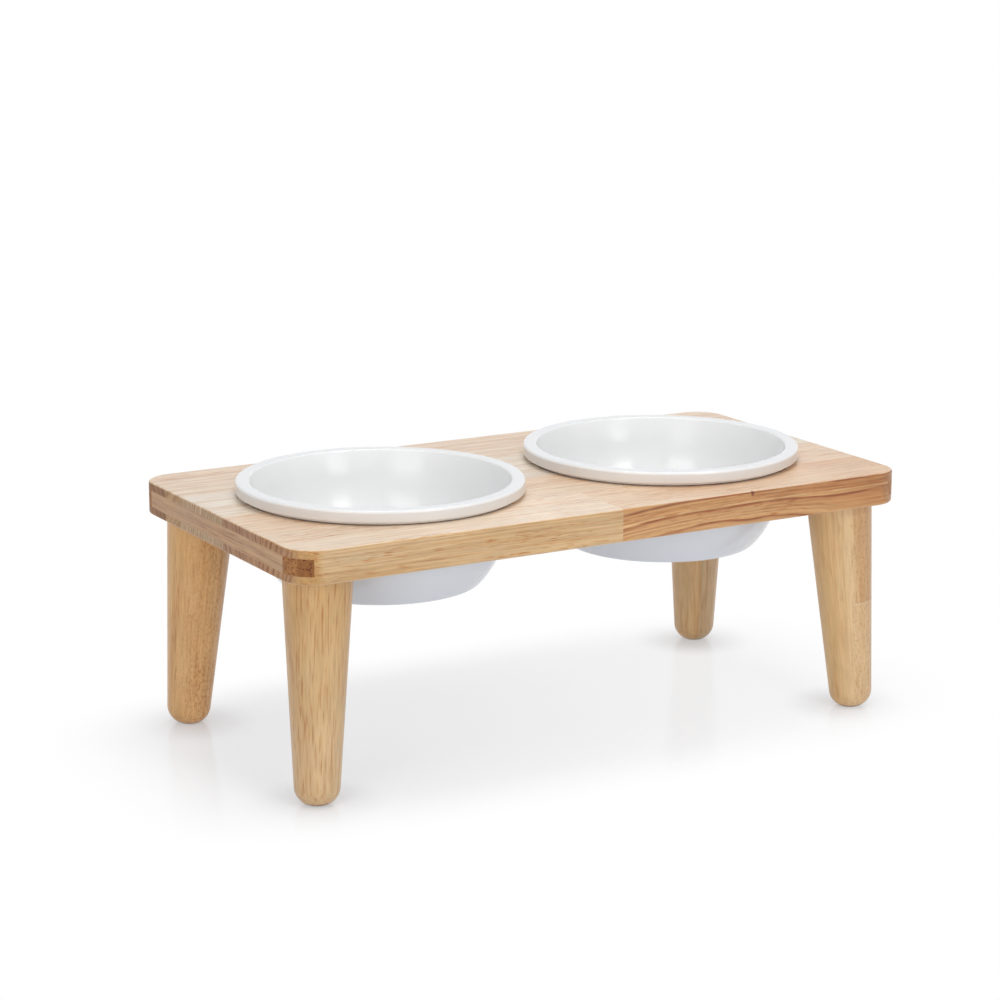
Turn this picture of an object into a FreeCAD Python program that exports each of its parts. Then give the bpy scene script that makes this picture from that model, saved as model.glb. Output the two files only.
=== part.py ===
import FreeCAD, Part
import Sketcher
import math
import os

# Raised feeding stand: a glued wooden top on four splayed turned legs, with two bowls hung in round holes.
# Millimetres. The origin is on the floor under the middle of the top, +X along its length, +Y to the back.

os.makedirs("parts", exist_ok=True)
doc = FreeCAD.newDocument("bowl_stand")

driving_sizes = {
    # the bowls
    "bowl_height": 60.4,
    "bowl_rim_radius": 82.7,
    "bowl_rim_flat": 5.1,
    "bowl_rim_round": 1.5,
    "bowl_rim_depth": 8.4,
    "bowl_hem_radius": 2.2,
    "bowl_lip_radius": 1.4,
    "bowl_wall_angle": 8.0,
    "bowl_corner_radius": 51.9,
    "bowl_corner_inset": 34.65,
    "bowl_foot_radius": 4.5,
    "bowl_sheet": 1.0,
    "bowl_seat_gap": 0.3,
    # the glued top, laid out round the bores that the bowls hang in
    "bore_clearance": 2.3,
    "bore_round": 2.0,
    "bridge_width": 35.0,
    "end_margin": 26.5,
    "side_margin": 25.5,
    "board_thickness": 19.3,
    "board_height": 146.8,
    "board_corner_radius": 18.0,
    "board_edge_round": 1.5,
    # its staves, counted from the front edge, as shares of its width; the back stave takes what is left
    "front_stave_share": 0.223,
    "second_stave_share": 0.223,
    "third_stave_share": 0.133,
    "fourth_stave_share": 0.135,
    "fifth_stave_share": 0.106,
    "front_left_length": 202.5,
    # the strip let into each end
    "spline_depth": 10.7,
    "spline_height": 9.5,
    # the legs, measured where their axis meets the underside, and at the floor
    "leg_end_inset": 26.1,
    "leg_side_inset": 28.5,
    "leg_splay_angle": 5.3,
    "leg_heading_angle": 55.0,
    "leg_top_radius": 19.5,
    "leg_foot_radius": 12.2,
    "leg_tip_radius": 1.5,
    "leg_foot_trim": 0.5,
    # the hanger bolts and the inserts that they screw into
    "bolt_radius": 4.0,
    "bolt_neck_radius": 3.3,
    "bolt_neck_length": 3.0,
    "bolt_leg_depth": 32.0,
    "bolt_point_length": 5.0,
    "bolt_insert_depth": 11.5,
    "bolt_chamfer": 0.8,
    "pilot_end_gap": 2.0,
    "insert_radius": 6.0,
    "insert_length": 12.0,
    "insert_recess": 1.0,
    "insert_chamfer": 0.6,
    "thread_clearance": 0.1,
    # how far a cutting shape runs past what it cuts
    "cut_overrun": 5.0,
}

sheet = doc.addObject("Spreadsheet::Sheet", "Sizes")
for row, (alias, value) in enumerate(driving_sizes.items(), start=1):
    sheet.set(f"A{row}", alias)
    sheet.set(f"B{row}", str(value))
    sheet.setAlias(f"B{row}", alias)
doc.recompute()

# What follows from the driving sizes. The bores clear the bowls' walls just under the rim, and the top is as
# long and wide as the bores and their margins.
lip_centre = "(Sizes.bowl_rim_radius - Sizes.bowl_rim_round - Sizes.bowl_rim_flat)"
wall_radius = f"({lip_centre} - (Sizes.bowl_lip_radius - Sizes.bowl_sheet) * cos(Sizes.bowl_wall_angle))"
bore_radius = f"({wall_radius} + Sizes.bore_clearance)"
bowl_spacing = f"(2 * {bore_radius} + Sizes.bridge_width)"
board_length = f"({bowl_spacing} + 2 * {bore_radius} + 2 * Sizes.end_margin)"
board_width = f"(2 * {bore_radius} + 2 * Sizes.side_margin)"
underside = "(Sizes.board_height - Sizes.board_thickness)"
left_end, right_end = f"-{board_length} / 2", f"{board_length} / 2"
front_edge, back_edge = f"-{board_width} / 2", f"{board_width} / 2"
left_bore, right_bore = f"-{bowl_spacing} / 2", f"{bowl_spacing} / 2"
sub_parts = {}


def measure(expression):
    return float(sheet.evalExpression(expression))


def size(alias):
    return float(sheet.get(alias))


def keep(obj, label):
    obj.Label = label
    sub_parts[label] = obj
    return obj


def bind_place(obj, x, y, z):
    obj.setExpression("Placement.Base.x", x)
    obj.setExpression("Placement.Base.y", y)
    obj.setExpression("Placement.Base.z", z)


def add_box(name, corner, extent):
    box = doc.addObject("Part::Box", name)
    bind_place(box, *corner)
    for side, expression in zip(("Length", "Width", "Height"), extent):
        box.setExpression(side, expression)
    return box


def add_boolean(kind, name, base, tool):
    result = doc.addObject(f"Part::{kind}", name)
    result.Base = base
    result.Tool = tool
    return result


def add_sketch(body, role, name):
    plane = next(feature for feature in body.Origin.OriginFeatures if feature.Role == role)
    sketch = body.newObject("Sketcher::SketchObject", name)
    sketch.AttachmentSupport = [(plane, "")]
    sketch.MapMode = "FlatFace"
    return sketch


def line(start, end):
    return Part.LineSegment(FreeCAD.Vector(*start, 0), FreeCAD.Vector(*end, 0))


def circle(centre, radius):
    return Part.Circle(FreeCAD.Vector(*centre, 0), FreeCAD.Vector(0, 0, 1), radius)


def arc(centre, radius, start_angle, end_angle):
    return Part.ArcOfCircle(circle(centre, radius), math.radians(start_angle), math.radians(end_angle))


def dimension(sketch, kind, name, expression, *where):
    value = sketch.evalExpression(expression)
    index = sketch.addConstraint(Sketcher.Constraint(kind, *where, value))
    sketch.renameConstraint(index, name)
    sketch.setExpression(f"Constraints.{name}", expression)


def add_outline(sketch, edges):
    # Each edge is (name, geometry, forwards, smooth). The outline follows an arc clockwise where it isn't
    # forwards, and a smooth edge runs on into the next one without a corner.
    ids = {name: sketch.addGeometry(geometry, False) for name, geometry, forwards, smooth in edges}
    for this, following in zip(edges, edges[1:] + edges[:1]):
        kind = "Tangent" if this[3] else "Coincident"
        end = 2 if this[2] else 1
        start = 1 if following[2] else 2
        sketch.addConstraint(Sketcher.Constraint(kind, ids[this[0]], end, ids[following[0]], start))
    return ids


def straighten(sketch, kind, edge_ids):
    for edge in edge_ids:
        sketch.addConstraint(Sketcher.Constraint(kind, edge))


def revolve(body, sketch, name):
    turned = body.newObject("PartDesign::Revolution", name)
    turned.Profile = sketch
    turned.ReferenceAxis = (sketch, ["V_Axis"])
    turned.Angle = 360
    return turned


def place_corner(sketch, name, edge, x, y):
    # The edge starts at the corner (x, y), each an expression, and "0" puts it on that axis.
    for axis, kind, expression in ((-2, "DistanceX", x), (-1, "DistanceY", y)):
        if expression == "0":
            sketch.addConstraint(Sketcher.Constraint("PointOnObject", edge, 1, axis))
        elif sketch.evalExpression(expression) > 0:
            dimension(sketch, kind, f"{name}_{kind}", expression, -1, 1, edge, 1)
        else:
            dimension(sketch, kind, f"{name}_{kind}", f"-({expression})", edge, 1, -1, 1)


def turned_body(name, corners):
    # A body turned about its own Z axis, from corners (radius, height) given as expressions.
    body = doc.addObject("PartDesign::Body", name)
    sketch = add_sketch(body, "XZ_Plane", f"{name}_profile")
    places = [(sketch.evalExpression(x), sketch.evalExpression(y)) for x, y in corners]
    edges = []
    for number, (start, end) in enumerate(zip(places, places[1:] + places[:1])):
        edges.append((f"edge_{number}", line(start, end), True, False))
    ids = add_outline(sketch, edges)
    for number, (x, y) in enumerate(corners):
        place_corner(sketch, f"corner_{number}", ids[f"edge_{number}"], x, y)
    revolve(body, sketch, f"{name}_turning")
    return body


# The top as one blank: a rounded rectangle with two bores, its edges eased.
panel = doc.addObject("PartDesign::Body", "panel")
bind_place(panel, "0", "0", underside)
outline = add_sketch(panel, "XY_Plane", "panel_outline")
right, back, corner = measure(right_end), measure(back_edge), size("board_corner_radius")
ids = add_outline(outline, [
    ("front", line((corner - right, -back), (right - corner, -back)), True, True),
    ("front_right", arc((right - corner, corner - back), corner, -90, 0), True, True),
    ("right", line((right, corner - back), (right, back - corner)), True, True),
    ("back_right", arc((right - corner, back - corner), corner, 0, 90), True, True),
    ("back", line((right - corner, back), (corner - right, back)), True, True),
    ("back_left", arc((corner - right, back - corner), corner, 90, 180), True, True),
    ("left", line((-right, back - corner), (-right, corner - back)), True, True),
    ("front_left", arc((corner - right, corner - back), corner, 180, 270), True, True),
])
straighten(outline, "Horizontal", [ids["front"], ids["back"]])
straighten(outline, "Vertical", [ids["left"], ids["right"]])
for arc_name in ("front_right", "back_left"):
    outline.addConstraint(Sketcher.Constraint("Equal", ids["front_left"], ids[arc_name]))
dimension(outline, "Radius", "corner", "Sizes.board_corner_radius", ids["front_left"])
dimension(outline, "DistanceY", "front_edge", back_edge, ids["front"], 1, -1, 1)
dimension(outline, "DistanceY", "back_edge", back_edge, -1, 1, ids["back"], 1)
dimension(outline, "DistanceX", "left_edge", right_end, ids["left"], 1, -1, 1)
dimension(outline, "DistanceX", "right_edge", right_end, -1, 1, ids["right"], 1)
blank = panel.newObject("PartDesign::Pad", "panel_blank")
blank.Profile = outline
blank.setExpression("Length", "Sizes.board_thickness")

bores = add_sketch(panel, "XY_Plane", "panel_bores")
for side, sign in (("left", -1), ("right", 1)):
    bore = bores.addGeometry(circle((sign * measure(right_bore), 0), measure(bore_radius)), False)
    bores.addConstraint(Sketcher.Constraint("PointOnObject", bore, 3, -1))
    dimension(bores, "Radius", f"{side}_bore", bore_radius, bore)
    ends = (bore, 3, -1, 1) if sign < 0 else (-1, 1, bore, 3)
    dimension(bores, "DistanceX", f"{side}_place", right_bore, *ends)
bored = panel.newObject("PartDesign::Pocket", "panel_bored")
bored.Profile = bores
bored.Type = "ThroughAll"
bored.Reversed = True
doc.recompute()
if not bored.Shape.Volume < blank.Shape.Volume:
    raise RuntimeError("the bores cut nothing from the top")


def is_bore_mouth(edge):
    return edge.isClosed() and edge.CenterOfMass.z > size("board_thickness") / 2


def is_other_level_edge(edge):
    return edge.BoundBox.ZLength < size("board_thickness") / 2 and not is_bore_mouth(edge)


def ease(base, name, chosen, radius):
    eased = panel.newObject("PartDesign::Fillet", name)
    names = [f"Edge{number}" for number, edge in enumerate(base.Shape.Edges, start=1) if chosen(edge)]
    eased.Base = (base, names)
    eased.setExpression("Radius", radius)
    doc.recompute()
    return eased


eased_mouths = ease(bored, "panel_mouths_eased", is_bore_mouth, "Sizes.bore_round")
ease(eased_mouths, "panel_edges_eased", is_other_level_edge, "Sizes.board_edge_round")

# The corners where the legs stand, with the signs of their X and Y.
leg_corners = {
    "front_left": (-1, -1),
    "front_right": (1, -1),
    "back_left": (-1, 1),
    "back_right": (1, 1),
}


def set_on_leg_axis(body, sign_x, sign_y):
    # Each leg leans out towards its corner, about the point where its axis meets the underside.
    heading = math.radians(size("leg_heading_angle"))
    axis = FreeCAD.Vector(sign_y * math.sin(heading), -sign_x * math.cos(heading), 0)
    body.Placement = FreeCAD.Placement(FreeCAD.Vector(), FreeCAD.Rotation(axis, size("leg_splay_angle")))
    body.setExpression("Placement.Rotation.Axis.x", f"{sign_y} * sin(Sizes.leg_heading_angle)")
    body.setExpression("Placement.Rotation.Axis.y", f"{-sign_x} * cos(Sizes.leg_heading_angle)")
    body.setExpression("Placement.Rotation.Angle", "Sizes.leg_splay_angle")
    x = f"{sign_x} * ({right_end} - Sizes.leg_end_inset)"
    y = f"{sign_y} * ({back_edge} - Sizes.leg_side_inset)"
    bind_place(body, x, y, underside)


def add_group(name, members):
    group = doc.addObject("Part::Compound", name)
    group.Links = members
    return group


# Blind holes for the inserts, drilled along the leg axes, and a groove across each end for its spline.
hole_depth = "Sizes.insert_recess + Sizes.insert_length"
insert_holes = []
for corner_name, signs in leg_corners.items():
    hole = turned_body(f"{corner_name}_insert_hole", [
        ("0", "-Sizes.cut_overrun"),
        ("Sizes.insert_radius", "-Sizes.cut_overrun"),
        ("Sizes.insert_radius", hole_depth),
        ("0", hole_depth),
    ])
    set_on_leg_axis(hole, *signs)
    insert_holes.append(hole)

groove_width = f"{board_width} + 2 * Sizes.cut_overrun"
groove_start = f"{front_edge} - Sizes.cut_overrun"
groove_bottom = "Sizes.board_height - Sizes.board_thickness / 2 - Sizes.spline_height / 2"
grooves = []
for side, groove_x in (
    ("left", f"{left_end} - Sizes.cut_overrun"),
    ("right", f"{right_end} - Sizes.spline_depth"),
):
    groove_extent = ("Sizes.spline_depth + Sizes.cut_overrun", groove_width, "Sizes.spline_height")
    groove = add_box(f"{side}_groove", (groove_x, groove_start, groove_bottom), groove_extent)
    grooves.append(groove)
    keep(add_boolean("Common", f"{side}_spline", panel, groove), f"{side}_end_spline")
cutters = add_group("panel_cutters", insert_holes + grooves)
glued_top = add_boolean("Cut", "glued_top", panel, cutters)

# The staves: rows from front to back, each cut into lengths. The bores part the inner rows into three.
front_joint = f"(Sizes.front_left_length - {right_end})"
parted_lengths = (
    ("left", left_end, left_bore),
    ("bridge", left_bore, right_bore),
    ("right", right_bore, right_end),
)
stave_rows = {
    "front": (("left", left_end, front_joint), ("right", front_joint, right_end)),
    "second": parted_lengths,
    "third": parted_lengths,
    "fourth": parted_lengths,
    "fifth": parted_lengths,
    "back": (("whole", left_end, right_end),),
}
seam = front_edge
for row_name, lengths in stave_rows.items():
    last_row = row_name == "back"
    next_seam = back_edge if last_row else f"{seam} + Sizes.{row_name}_stave_share * {board_width}"
    for length_name, start, end in lengths:
        name = f"{row_name}_stave" if last_row else f"{row_name}_stave_{length_name}"
        extent = (f"{end} - ({start})", f"{next_seam} - ({seam})", "Sizes.board_thickness")
        room = add_box(f"{name}_room", (start, seam, underside), extent)
        keep(add_boolean("Common", f"{name}_solid", glued_top, room), name)
    seam = next_seam

# The legs: tapered turnings with domed feet, trimmed level at the underside and at the floor.
leg_room = add_box(
    "leg_room",
    (f"-{board_length}", f"-{board_width}", "0"),
    (f"2 * {board_length}", f"2 * {board_width}", underside),
)
leg_reach = f"({underside} / cos(Sizes.leg_splay_angle) + Sizes.leg_foot_trim)"
leg_taper = f"(Sizes.leg_top_radius - Sizes.leg_foot_radius) / {leg_reach}"
pilot_depth = "-(Sizes.bolt_leg_depth + Sizes.pilot_end_gap)"
for corner_name, signs in leg_corners.items():
    turning = turned_body(f"{corner_name}_leg_turning", [
        ("Sizes.bolt_radius", "Sizes.cut_overrun"),
        ("Sizes.bolt_radius", pilot_depth),
        ("0", pilot_depth),
        ("0", f"-{leg_reach}"),
        ("Sizes.leg_foot_radius", f"-{leg_reach}"),
        (f"Sizes.leg_top_radius + {leg_taper} * Sizes.cut_overrun", "Sizes.cut_overrun"),
    ])
    doc.recompute()
    straight = turning.Tip
    dome = turning.newObject("PartDesign::Fillet", f"{corner_name}_leg_dome")
    lowest = min(range(len(straight.Shape.Edges)), key=lambda n: straight.Shape.Edges[n].BoundBox.ZMax)
    dome.Base = (straight, [f"Edge{lowest + 1}"])
    dome.setExpression("Radius", "Sizes.leg_foot_radius - Sizes.leg_tip_radius")
    set_on_leg_axis(turning, *signs)
    keep(add_boolean("Common", f"{corner_name}_leg_solid", turning, leg_room), f"{corner_name}_leg")

# The hardware inside each joint: a hanger bolt in the leg and a threaded insert in the top.
bolts = []
inserts = []
neck_half = "Sizes.bolt_neck_length / 2"
thread_radius = "Sizes.bolt_radius + Sizes.thread_clearance"
for corner_name, signs in leg_corners.items():
    bolt = turned_body(f"{corner_name}_bolt", [
        ("0", "-Sizes.bolt_leg_depth"),
        ("Sizes.bolt_radius", "Sizes.bolt_point_length - Sizes.bolt_leg_depth"),
        ("Sizes.bolt_radius", f"-{neck_half}"),
        ("Sizes.bolt_neck_radius", f"-{neck_half}"),
        ("Sizes.bolt_neck_radius", neck_half),
        ("Sizes.bolt_radius", neck_half),
        ("Sizes.bolt_radius", "Sizes.bolt_insert_depth - Sizes.bolt_chamfer"),
        ("Sizes.bolt_radius - Sizes.bolt_chamfer", "Sizes.bolt_insert_depth"),
        ("0", "Sizes.bolt_insert_depth"),
    ])
    insert = turned_body(f"{corner_name}_insert", [
        (thread_radius, "Sizes.insert_recess"),
        ("Sizes.insert_radius - Sizes.insert_chamfer", "Sizes.insert_recess"),
        ("Sizes.insert_radius", "Sizes.insert_recess + Sizes.insert_chamfer"),
        ("Sizes.insert_radius", hole_depth),
        (thread_radius, hole_depth),
    ])
    for piece, pieces in ((bolt, bolts), (insert, inserts)):
        set_on_leg_axis(piece, *signs)
        pieces.append(piece)
keep(add_group("bolt_set", bolts), "hanger_bolts")
keep(add_group("insert_set", inserts), "threaded_inserts")


def add_bowl(label, place_x):
    # One sheet all the way: flat base, foot round, wide corner, leaning wall, lip, flat rim and rolled hem.
    body = doc.addObject("PartDesign::Body", f"{label}_body")
    sketch = add_sketch(body, "XZ_Plane", f"{label}_profile")
    sheet_thick, top, rim = size("bowl_sheet"), size("bowl_height"), size("bowl_rim_radius")
    lip, edge, hem = size("bowl_lip_radius"), size("bowl_rim_round"), size("bowl_hem_radius")
    turn, inset, lean = size("bowl_corner_radius"), size("bowl_corner_inset"), size("bowl_wall_angle")
    foot = size("bowl_foot_radius")
    out, rise = math.cos(math.radians(lean)), math.sin(math.radians(lean))
    lip_middle = (measure(lip_centre), top - lip)

    def wall_head(radius):
        return lip_middle[0] - radius * out, lip_middle[1] + radius * rise

    head = wall_head(lip - sheet_thick)
    turn_height = foot + math.sqrt((turn - foot) ** 2 - inset ** 2)
    wall_height = turn_height - turn * rise
    wall_start = (head[0] - (head[1] - wall_height) * rise / out, wall_height)
    turn_middle = (wall_start[0] - turn * out, turn_height)
    foot_middle = (turn_middle[0] + inset, foot)
    foot_end = -math.degrees(math.acos(inset / (turn - foot)))
    inner_turn = turn - sheet_thick
    inner_start = (turn_middle[0] + inner_turn * out, turn_height - inner_turn * rise)
    rim_centre = (rim - edge, top - edge)
    hem_centre = (rim - hem, top - size("bowl_rim_depth") + hem)
    inside, hem_inside = rim - sheet_thick, hem - sheet_thick
    hem_tip = ((hem_centre[0] - hem_inside, hem_centre[1]), (hem_centre[0] - hem, hem_centre[1]))
    under = top - sheet_thick
    ids = add_outline(sketch, [
        ("base", line((0, 0), (foot_middle[0], 0)), True, True),
        ("outer_foot", arc(foot_middle, foot, -90, foot_end), True, True),
        ("outer_corner", arc(turn_middle, turn, foot_end, -lean), True, True),
        ("outer_wall", line(wall_start, head), True, True),
        ("under_lip", arc(lip_middle, lip - sheet_thick, 90, 180 - lean), False, True),
        ("under_rim", line((lip_middle[0], under), (rim_centre[0], under)), True, True),
        ("under_edge", arc(rim_centre, edge - sheet_thick, 0, 90), False, True),
        ("inner_skirt", line((inside, rim_centre[1]), (inside, hem_centre[1])), True, True),
        ("inner_hem", arc(hem_centre, hem_inside, -180, 0), False, False),
        ("hem_end", line(*hem_tip), True, False),
        ("outer_hem", arc(hem_centre, hem, -180, 0), True, True),
        ("outer_skirt", line((rim, hem_centre[1]), (rim, rim_centre[1])), True, True),
        ("rim_edge", arc(rim_centre, edge, 0, 90), True, True),
        ("rim_flat", line((rim_centre[0], top), (lip_middle[0], top)), True, True),
        ("lip", arc(lip_middle, lip, 90, 180 - lean), True, True),
        ("inner_wall", line(wall_head(lip), inner_start), True, True),
        ("inner_corner", arc(turn_middle, inner_turn, foot_end, -lean), False, True),
        ("inner_foot", arc(foot_middle, foot - sheet_thick, -90, foot_end), False, True),
        ("floor", line((foot_middle[0], sheet_thick), (0, sheet_thick)), True, False),
        ("axis", line((0, sheet_thick), (0, 0)), True, False),
    ])
    sketch.addConstraint(Sketcher.Constraint("Coincident", ids["base"], 1, -1, 1))
    straighten(sketch, "Horizontal", [ids[n] for n in ("base", "under_rim", "hem_end", "rim_flat", "floor")])
    straighten(sketch, "Vertical", [ids[n] for n in ("inner_skirt", "outer_skirt", "axis")])
    for one, other in (
        ("outer_foot", "inner_foot"),
        ("outer_corner", "inner_corner"),
        ("under_lip", "lip"),
        ("under_edge", "rim_edge"),
        ("inner_hem", "outer_hem"),
    ):
        sketch.addConstraint(Sketcher.Constraint("Coincident", ids[one], 3, ids[other], 3))
    sketch.addConstraint(Sketcher.Constraint("Horizontal", ids["outer_hem"], 3, ids["outer_hem"], 1))
    rim_ends = (ids["rim_flat"], 2, ids["rim_flat"], 1)
    dimension(sketch, "DistanceX", "rim_flat", "Sizes.bowl_rim_flat", *rim_ends)
    dimension(sketch, "DistanceY", "sheet", "Sizes.bowl_sheet", ids["axis"], 2, ids["axis"], 1)
    dimension(sketch, "DistanceY", "height", "Sizes.bowl_height", -1, 1, ids["rim_flat"], 1)
    dimension(sketch, "DistanceX", "rim_radius", "Sizes.bowl_rim_radius", -1, 1, ids["outer_skirt"], 1)
    hem_rise = "Sizes.bowl_height - Sizes.bowl_rim_depth + Sizes.bowl_hem_radius"
    dimension(sketch, "DistanceY", "hem_rise", hem_rise, -1, 1, ids["outer_hem"], 3)
    dimension(sketch, "Angle", "wall_lean", "(90 - Sizes.bowl_wall_angle) * 1deg", ids["outer_wall"])
    dimension(sketch, "Radius", "corner", "Sizes.bowl_corner_radius", ids["outer_corner"])
    dimension(sketch, "Radius", "foot", "Sizes.bowl_foot_radius", ids["outer_foot"])
    corner_ends = (ids["outer_corner"], 3, ids["outer_foot"], 3)
    dimension(sketch, "DistanceX", "corner_inset", "Sizes.bowl_corner_inset", *corner_ends)
    dimension(sketch, "Radius", "lip_radius", "Sizes.bowl_lip_radius", ids["lip"])
    dimension(sketch, "Radius", "under_lip", "Sizes.bowl_lip_radius - Sizes.bowl_sheet", ids["under_lip"])
    dimension(sketch, "Radius", "rim_round", "Sizes.bowl_rim_round", ids["rim_edge"])
    dimension(sketch, "Radius", "hem", "Sizes.bowl_hem_radius", ids["outer_hem"])
    revolve(body, sketch, f"{label}_spun")
    seat = "Sizes.board_height + Sizes.bowl_seat_gap + Sizes.bowl_rim_depth - Sizes.bowl_height"
    bind_place(body, place_x, "0", seat)
    keep(body, label)


add_bowl("left_bowl", left_bore)
add_bowl("right_bowl", right_bore)
doc.recompute()

for obj in doc.Objects:
    if "Invalid" in obj.State or "Error" in obj.State:
        raise RuntimeError(f"{obj.Name} failed to compute")
for label, obj in sub_parts.items():
    if obj.Shape.isNull() or not obj.Shape.isValid():
        raise RuntimeError(f"{label} has no sound shape")
    obj.Shape.exportStep(f"parts/{label}.step")
    print(f"{label}: {len(obj.Shape.Solids)} solid(s), {obj.Shape.Volume:.1f} mm3")
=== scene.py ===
import math
import bmesh
import bpy
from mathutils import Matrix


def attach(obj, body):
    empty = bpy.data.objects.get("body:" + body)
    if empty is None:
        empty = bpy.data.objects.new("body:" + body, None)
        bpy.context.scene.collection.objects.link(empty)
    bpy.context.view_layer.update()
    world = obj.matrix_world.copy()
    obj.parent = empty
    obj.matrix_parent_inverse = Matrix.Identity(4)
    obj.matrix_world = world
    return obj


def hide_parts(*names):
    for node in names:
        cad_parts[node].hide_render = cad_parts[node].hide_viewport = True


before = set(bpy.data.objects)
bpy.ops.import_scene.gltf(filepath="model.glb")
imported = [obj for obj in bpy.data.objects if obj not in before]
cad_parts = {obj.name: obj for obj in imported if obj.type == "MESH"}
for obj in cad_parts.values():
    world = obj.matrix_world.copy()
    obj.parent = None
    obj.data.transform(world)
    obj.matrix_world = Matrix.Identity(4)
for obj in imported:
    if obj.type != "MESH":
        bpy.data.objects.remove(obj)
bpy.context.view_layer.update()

from types import SimpleNamespace
from mathutils import Euler, Matrix, Vector

scene = bpy.context.scene
mm = 0.001
weld = 0.01 * mm
sharpAngle = math.radians(40)
print("frame loaded:", len(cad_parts), "nodes")


class Wire:
    # One socket of a node tree. Values take Python's operators, and any other node comes from node().
    def __init__(self, tree, socket=None):
        self.tree = tree
        self.socket = socket

    def node(self, kind, settings=None, sockets=None, out=0):
        made = self.tree.nodes.new(kind)
        for name, value in (settings or {}).items():
            if name == "stops":
                fillRamp(made.color_ramp, value)
            else:
                setattr(made, name, value)
        for name, value in (sockets or {}).items():
            if isinstance(value, Wire):
                self.tree.links.new(value.socket, made.inputs[name])
            else:
                made.inputs[name].default_value = value
        return Wire(self.tree, made.outputs[out] if len(made.outputs) else None)

    def other(self, out):
        return Wire(self.tree, self.socket.node.outputs[out])

    def maths(self, operation, *values):
        return self.node("ShaderNodeMath", {"operation": operation}, dict(enumerate(values)))

    def __add__(self, value):
        return self.maths("ADD", self, value)

    def __sub__(self, value):
        return self.maths("SUBTRACT", self, value)

    def __rsub__(self, value):
        return self.maths("SUBTRACT", value, self)

    def __mul__(self, value):
        return self.maths("MULTIPLY", self, value)

    def __truediv__(self, value):
        return self.maths("DIVIDE", self, value)

    def __rtruediv__(self, value):
        return self.maths("DIVIDE", value, self)

    def __pow__(self, value):
        return self.maths("POWER", self, value)

    def __abs__(self):
        return self.maths("ABSOLUTE", self)

    __radd__ = __add__
    __rmul__ = __mul__

    def split(self):
        parts = self.node("ShaderNodeSeparateXYZ", None, {0: self})
        return parts, parts.other(1), parts.other(2)

    def join(self, x, y, z):
        return self.node("ShaderNodeCombineXYZ", None, {0: x, 1: y, 2: z})

    def step(self, low, high, toLow=0.0, toHigh=1.0):
        settings = {"interpolation_type": "SMOOTHSTEP"}
        return self.node("ShaderNodeMapRange", settings, {0: self, 1: low, 2: high, 3: toLow, 4: toHigh})

    def noise(self, stretch, detail=2.0, seed=0.0, rough=0.5):
        spread = self.node("ShaderNodeMapping", None, {
            "Vector": self, "Scale": stretch, "Location": (seed, seed * 1.7, seed * 2.3)})
        return self.node("ShaderNodeTexNoise", None, {
            "Vector": spread, "Scale": 1.0, "Detail": detail, "Roughness": rough})

    def mix(self, first, second, how="MIX"):
        # colours, by this wire as the factor
        settings = {"data_type": "RGBA", "blend_type": how}
        return self.node("ShaderNodeMix", settings, {0: self, 6: first, 7: second}, out=2)


def fillRamp(ramp, stops):
    while len(ramp.elements) < len(stops):
        ramp.elements.new(1.0)
    for element, (place, colour) in zip(ramp.elements, stops):
        element.position = place
        element.color = colour


def tint(red, green, blue):
    # a display colour, 0 to 255, made linear for a node's socket
    def straight(value):
        value /= 255
        return value / 12.92 if value <= 0.04045 else ((value + 0.055) / 1.055) ** 2.4
    return straight(red), straight(green), straight(blue), 1.0


def startMaterial(label):
    material = bpy.data.materials.new(label)
    material.use_nodes = True
    material.node_tree.nodes.clear()
    return material, Wire(material.node_tree)


def endMaterial(pen, shader):
    pen.node("ShaderNodeOutputMaterial", None, {"Surface": shader})


# Wood. Grain runs along the local X axis, and the rings are round a pith that lies off the piece.
# Tones are pairs, pale and warm: side for the long edges, flat for the top and underside, end for end grain.
# The flat tones, paler and pinker than the side ones, hold the wood's own tone and a painted sheen of the lit
# top.
# Marks are in metres, but stripes and lines are in millimetres.
woodDefaults = {
    "middle": (0.0, 0.0, 0.0),
    "turn": (0.0, 0.0, 0.0),
    "side": ((222, 190, 150), (214, 178, 136)),
    "flat": None,
    "end": ((176, 146, 118), (160, 128, 102)),
    "ringTint": (206, 168, 136),
    "endRingTint": (190, 150, 122),
    "streakTint": (228, 200, 166),
    "poreTint": (220, 184, 142),
    "markTint": (158, 104, 62),
    "pith": (0.30, 0.06),
    "ringGap": 0.0046,
    "ringDepth": 0.30,
    "endRingDepth": 0.85,
    "endFrom": (0.72, 0.97),
    "corner": None,
    "drift": 0.004,
    "bow": 0.0,
    "bowAt": 0.0,
    "bowRight": 0.0,
    "bowReach": 0.06,
    "bowLevel": 0.0,
    "stripes": [],
    "stripeTint": (176, 126, 88),
    "breaks": 0.35,
    "lines": [],
    "streaks": 0.6,
    "streakLength": 9.0,
    "streakWidth": 430.0,
    "pores": 0.6,
    "poreLength": 70.0,
    "poreWidth": 800.0,
    "fibre": 0.35,
    "specks": 0.0,
    "speckScale": (420.0, 640.0, 640.0),
    "speckFrom": (0.60, 0.68),
    "speckSide": None,
    "speckEnds": False,
    "bands": [],
    "core": None,
    "knot": None,
    "rough": 0.44,
    "coat": 0.35,
    "seed": 0.0,
}
woodPatterns = {  # stretch along and across the grain, detail, shift of the seed, roughness
    "bend": ((6.0, 26.0, 26.0), 2.0, 3.1, 0.5),
    "fibres": ((26.0, 1000.0, 1000.0), 2.0, 7.7, 0.6),
    "clouds": ((7.0, 50.0, 50.0), 3.0, 1.3, 0.5),
    "patches": ((60.0, 60.0, 60.0), 2.0, 9.9, 0.5),
    "density": ((9.0, 150.0, 150.0), 1.0, 2.2, 0.5),
    "breaks": ((24.0, 260.0, 260.0), 2.0, 8.8, 0.5),
    "ragged": ((14.0, 90.0, 90.0), 2.0, 4.7, 0.5),
    "spread": ((16.0, 40.0, 40.0), 1.0, 1.9, 0.5),
}
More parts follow.
